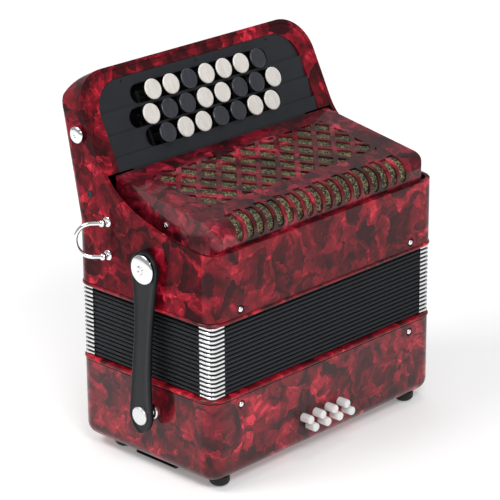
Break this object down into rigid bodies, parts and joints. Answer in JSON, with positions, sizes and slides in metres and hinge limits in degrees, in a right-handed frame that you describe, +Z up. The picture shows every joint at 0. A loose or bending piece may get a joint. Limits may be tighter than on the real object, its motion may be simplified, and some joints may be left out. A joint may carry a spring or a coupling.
{
  "type": "button accordion",
  "caption": "Small button accordion standing on its bass end: leaning keyboard, lattice grille, folded bellows, sprung keys, straps and rings that swing.",
  "frame": {"origin": "under the middle of the whole outline, on the surface that the rubber feet rest on", "axes": "+X along the keyboard, to the right seen from the grille side; -Y towards the bass buttons and the front; +Z up from the bass end to the treble end, along the bellows' travel"},
  "size_m": [0.2796, 0.1628, 0.2809],
  "materials": {
    "white_button": "pearl",
    "black_button": "satin",
    "red_shell": "pearl gloss",
    "bright_metal": "polished",
    "steel": "drawn",
    "wood": "bare",
    "rubber": "matte",
    "strap": "matte",
    "bracket": "matte",
    "bellows": "matte",
    "black_panel": "satin",
    "cloth": "glitter"
  },
  "bodies": {
    "bass_end": {"bass_case": "red_shell", "bass_end_cover": "red_shell", "end_cover_screws": "bright_metal", "bass_soundboard": "wood", "bass_reed_blocks": "wood", "bass_bellows_frame": "red_shell", "bass_frame_pins": "bright_metal", "rubber_feet": "rubber", "hand_strap": "strap", "hand_strap_brackets": "bracket", "snap_studs": "bright_metal", "bellows_folds": "bellows", "bellows_corners": "bright_metal"},
    "treble_end": {"treble_bellows_frame": "red_shell", "treble_screws": "bright_metal", "treble_case": "red_shell", "keyboard_border": "red_shell", "keyboard_panel": "black_panel", "treble_grille": "red_shell", "grille_cloth": "cloth", "treble_soundboard": "wood", "treble_reed_blocks": "wood", "key_axle": "steel", "axle_posts": "wood", "strap_fittings": "bright_metal"},
    "treble_key_1_body": {"treble_key_1": "white_button"},
    "treble_key_2_body": {"treble_key_2": "white_button"},
    "treble_key_3_body": {"treble_key_3": "black_button"},
    "treble_key_4_body": {"treble_key_4": "white_button"},
    "treble_key_5_body": {"treble_key_5": "white_button"},
    "treble_key_6_body": {"treble_key_6": "white_button"},
    "treble_key_7_body": {"treble_key_7": "black_button"},
    "treble_key_8_body": {"treble_key_8": "white_button"},
    "treble_key_9_body": {"treble_key_9": "black_button"},
    "treble_key_10_body": {"treble_key_10": "black_button"},
    "treble_key_11_body": {"treble_key_11": "white_button"},
    "treble_key_12_body": {"treble_key_12": "white_button"},
    "treble_key_13_body": {"treble_key_13": "black_button"},
    "treble_key_14_body": {"treble_key_14": "black_button"},
    "treble_key_15_body": {"treble_key_15": "white_button"},
    "treble_key_16_body": {"treble_key_16": "black_button"},
    "treble_key_17_body": {"treble_key_17": "white_button"},
    "treble_key_18_body": {"treble_key_18": "white_button"},
    "treble_key_19_body": {"treble_key_19": "black_button"},
    "treble_key_20_body": {"treble_key_20": "black_button"},
    "treble_key_21_body": {"treble_key_21": "white_button"},
    "treble_key_22_body": {"treble_key_22": "white_button"},
    "bass_button_1_body": {"bass_button_1": "white_button"},
    "bass_button_2_body": {"bass_button_2": "white_button"},
    "bass_button_3_body": {"bass_button_3": "white_button"},
    "bass_button_4_body": {"bass_button_4": "white_button"},
    "bass_button_5_body": {"bass_button_5": "white_button"},
    "bass_button_6_body": {"bass_button_6": "white_button"},
    "bass_button_7_body": {"bass_button_7": "white_button"},
    "bass_button_8_body": {"bass_button_8": "white_button"},
    "air_valve_body": {"air_valve": "white_button"},
    "left_bellows_strap_body": {"left_bellows_strap": "strap"},
    "right_bellows_strap_body": {"right_bellows_strap": "strap"},
    "left_ring_body": {"left_ring": "bright_metal"},
    "right_ring_body": {"right_ring": "bright_metal"}
  },
  "joints": [
    {"name": "bellows_open", "type": "slide", "parent": "bass_end", "child": "treble_end", "axis": [0, 0, 1], "range_m": [0, 0.18], "deforming": ["bellows_folds", "bellows_corners"]},
    {"name": "treble_key_1_press", "type": "hinge", "parent": "treble_end", "child": "treble_key_1_body", "pos_m": [-0.05445, 0.03304, 0.19316], "axis": [-1, 0, 0], "range_deg": [0, 2.5], "stiffness_Nm_per_rad": 0.35, "springref_deg": -2.86},
    {"name": "treble_key_2_press", "type": "hinge", "parent": "treble_end", "child": "treble_key_2_body", "pos_m": [-0.0363, 0.03304, 0.19316], "axis": [-1, 0, 0], "range_deg": [0, 2.5], "stiffness_Nm_per_rad": 0.35, "springref_deg": -2.86},
    {"name": "treble_key_3_press", "type": "hinge", "parent": "treble_end", "child": "treble_key_3_body", "pos_m": [-0.01815, 0.03304, 0.19316], "axis": [-1, 0, 0], "range_deg": [0, 2.5], "stiffness_Nm_per_rad": 0.35, "springref_deg": -2.86},
    {"name": "treble_key_4_press", "type": "hinge", "parent": "treble_end", "child": "treble_key_4_body", "pos_m": [0, 0.03304, 0.19316], "axis": [-1, 0, 0], "range_deg": [0, 2.5], "stiffness_Nm_per_rad": 0.35, "springref_deg": -2.86},
    {"name": "treble_key_5_press", "type": "hinge", "parent": "treble_end", "child": "treble_key_5_body", "pos_m": [0.01815, 0.03304, 0.19316], "axis": [-1, 0, 0], "range_deg": [0, 2.5], "stiffness_Nm_per_rad": 0.35, "springref_deg": -2.86},
    {"name": "treble_key_6_press", "type": "hinge", "parent": "treble_end", "child": "treble_key_6_body", "pos_m": [0.0363, 0.03304, 0.19316], "axis": [-1, 0, 0], "range_deg": [0, 2.5], "stiffness_Nm_per_rad": 0.35, "springref_deg": -2.86},
    {"name": "treble_key_7_press", "type": "hinge", "parent": "treble_end", "child": "treble_key_7_body", "pos_m": [0.05445, 0.03304, 0.19316], "axis": [-1, 0, 0], "range_deg": [0, 2.5], "stiffness_Nm_per_rad": 0.35, "springref_deg": -2.86},
    {"name": "treble_key_8_press", "type": "hinge", "parent": "treble_end", "child": "treble_key_8_body", "pos_m": [-0.06352, 0.03304, 0.19316], "axis": [-1, 0, 0], "range_deg": [0, 3.35], "stiffness_Nm_per_rad": 0.35, "springref_deg": -2.86},
    {"name": "treble_key_9_press", "type": "hinge", "parent": "treble_end", "child": "treble_key_9_body", "pos_m": [-0.04537, 0.03304, 0.19316], "axis": [-1, 0, 0], "range_deg": [0, 3.35], "stiffness_Nm_per_rad": 0.35, "springref_deg": -2.86},
    {"name": "treble_key_10_press", "type": "hinge", "parent": "treble_end", "child": "treble_key_10_body", "pos_m": [-0.02722, 0.03304, 0.19316], "axis": [-1, 0, 0], "range_deg": [0, 3.35], "stiffness_Nm_per_rad": 0.35, "springref_deg": -2.86},
    {"name": "treble_key_11_press", "type": "hinge", "parent": "treble_end", "child": "treble_key_11_body", "pos_m": [-0.00907, 0.03304, 0.19316], "axis": [-1, 0, 0], "range_deg": [0, 3.35], "stiffness_Nm_per_rad": 0.35, "springref_deg": -2.86},
    {"name": "treble_key_12_press", "type": "hinge", "parent": "treble_end", "child": "treble_key_12_body", "pos_m": [0.00907, 0.03304, 0.19316], "axis": [-1, 0, 0], "range_deg": [0, 3.35], "stiffness_Nm_per_rad": 0.35, "springref_deg": -2.86},
    {"name": "treble_key_13_press", "type": "hinge", "parent": "treble_end", "child": "treble_key_13_body", "pos_m": [0.02722, 0.03304, 0.19316], "axis": [-1, 0, 0], "range_deg": [0, 3.35], "stiffness_Nm_per_rad": 0.35, "springref_deg": -2.86},
    {"name": "treble_key_14_press", "type": "hinge", "parent": "treble_end", "child": "treble_key_14_body", "pos_m": [0.04537, 0.03304, 0.19316], "axis": [-1, 0, 0], "range_deg": [0, 3.35], "stiffness_Nm_per_rad": 0.35, "springref_deg": -2.86},
    {"name": "treble_key_15_press", "type": "hinge", "parent": "treble_end", "child": "treble_key_15_body", "pos_m": [0.06352, 0.03304, 0.19316], "axis": [-1, 0, 0], "range_deg": [0, 3.35], "stiffness_Nm_per_rad": 0.35, "springref_deg": -2.86},
    {"name": "treble_key_16_press", "type": "hinge", "parent": "treble_end", "child": "treble_key_16_body", "pos_m": [-0.05445, 0.03304, 0.19316], "axis": [-1, 0, 0], "range_deg": [0, 4.9], "stiffness_Nm_per_rad": 0.35, "springref_deg": -2.86},
    {"name": "treble_key_17_press", "type": "hinge", "parent": "treble_end", "child": "treble_key_17_body", "pos_m": [-0.0363, 0.03304, 0.19316], "axis": [-1, 0, 0], "range_deg": [0, 4.9], "stiffness_Nm_per_rad": 0.35, "springref_deg": -2.86},
    {"name": "treble_key_18_press", "type": "hinge", "parent": "treble_end", "child": "treble_key_18_body", "pos_m": [-0.01815, 0.03304, 0.19316], "axis": [-1, 0, 0], "range_deg": [0, 4.9], "stiffness_Nm_per_rad": 0.35, "springref_deg": -2.86},
    {"name": "treble_key_19_press", "type": "hinge", "parent": "treble_end", "child": "treble_key_19_body", "pos_m": [0, 0.03304, 0.19316], "axis": [-1, 0, 0], "range_deg": [0, 4.9], "stiffness_Nm_per_rad": 0.35, "springref_deg": -2.86},
    {"name": "treble_key_20_press", "type": "hinge", "parent": "treble_end", "child": "treble_key_20_body", "pos_m": [0.01815, 0.03304, 0.19316], "axis": [-1, 0, 0], "range_deg": [0, 4.9], "stiffness_Nm_per_rad": 0.35, "springref_deg": -2.86},
    {"name": "treble_key_21_press", "type": "hinge", "parent": "treble_end", "child": "treble_key_21_body", "pos_m": [0.0363, 0.03304, 0.19316], "axis": [-1, 0, 0], "range_deg": [0, 4.9], "stiffness_Nm_per_rad": 0.35, "springref_deg": -2.86},
    {"name": "treble_key_22_press", "type": "hinge", "parent": "treble_end", "child": "treble_key_22_body", "pos_m": [0.05445, 0.03304, 0.19316], "axis": [-1, 0, 0], "range_deg": [0, 4.9], "stiffness_Nm_per_rad": 0.35, "springref_deg": -2.86},
    {"name": "bass_button_1_press", "type": "slide", "parent": "bass_end", "child": "bass_button_1_body", "axis": [0, 1, 0], "range_m": [0, 0.003], "stiffness_N_per_m": 150, "springref_m": -0.004},
    {"name": "bass_button_2_press", "type": "slide", "parent": "bass_end", "child": "bass_button_2_body", "axis": [0, 1, 0], "range_m": [0, 0.003], "stiffness_N_per_m": 150, "springref_m": -0.004},
    {"name": "bass_button_3_press", "type": "slide", "parent": "bass_end", "child": "bass_button_3_body", "axis": [0, 1, 0], "range_m": [0, 0.003], "stiffness_N_per_m": 150, "springref_m": -0.004},
    {"name": "bass_button_4_press", "type": "slide", "parent": "bass_end", "child": "bass_button_4_body", "axis": [0, 1, 0], "range_m": [0, 0.003], "stiffness_N_per_m": 150, "springref_m": -0.004},
    {"name": "bass_button_5_press", "type": "slide", "parent": "bass_end", "child": "bass_button_5_body", "axis": [0, 1, 0], "range_m": [0, 0.003], "stiffness_N_per_m": 150, "springref_m": -0.004},
    {"name": "bass_button_6_press", "type": "slide", "parent": "bass_end", "child": "bass_button_6_body", "axis": [0, 1, 0], "range_m": [0, 0.003], "stiffness_N_per_m": 150, "springref_m": -0.004},
    {"name": "bass_button_7_press", "type": "slide", "parent": "bass_end", "child": "bass_button_7_body", "axis": [0, 1, 0], "range_m": [0, 0.003], "stiffness_N_per_m": 150, "springref_m": -0.004},
    {"name": "bass_button_8_press", "type": "slide", "parent": "bass_end", "child": "bass_button_8_body", "axis": [0, 1, 0], "range_m": [0, 0.003], "stiffness_N_per_m": 150, "springref_m": -0.004},
    {"name": "air_valve_press", "type": "slide", "parent": "bass_end", "child": "air_valve_body", "axis": [0, -1, 0], "range_m": [0, 0.003], "stiffness_N_per_m": 250, "springref_m": -0.004},
    {"name": "left_bellows_strap_swing", "type": "hinge", "parent": "treble_end", "child": "left_bellows_strap_body", "pos_m": [-0.126, -0.01288, 0.15868], "axis": [1, 0, 0], "range_deg": [-60, 60]},
    {"name": "right_bellows_strap_swing", "type": "hinge", "parent": "treble_end", "child": "right_bellows_strap_body", "pos_m": [0.126, -0.01288, 0.15868], "axis": [1, 0, 0], "range_deg": [-60, 60]},
    {"name": "left_ring_swing", "type": "hinge", "parent": "treble_end", "child": "left_ring_body", "pos_m": [-0.1245, 0.02962, 0.16928], "axis": [0, 0, 1], "range_deg": [-24, 116]},
    {"name": "right_ring_swing", "type": "hinge", "parent": "treble_end", "child": "right_ring_body", "pos_m": [0.1245, 0.02962, 0.16928], "axis": [0, 0, 1], "range_deg": [-116, 24]}
  ]
}
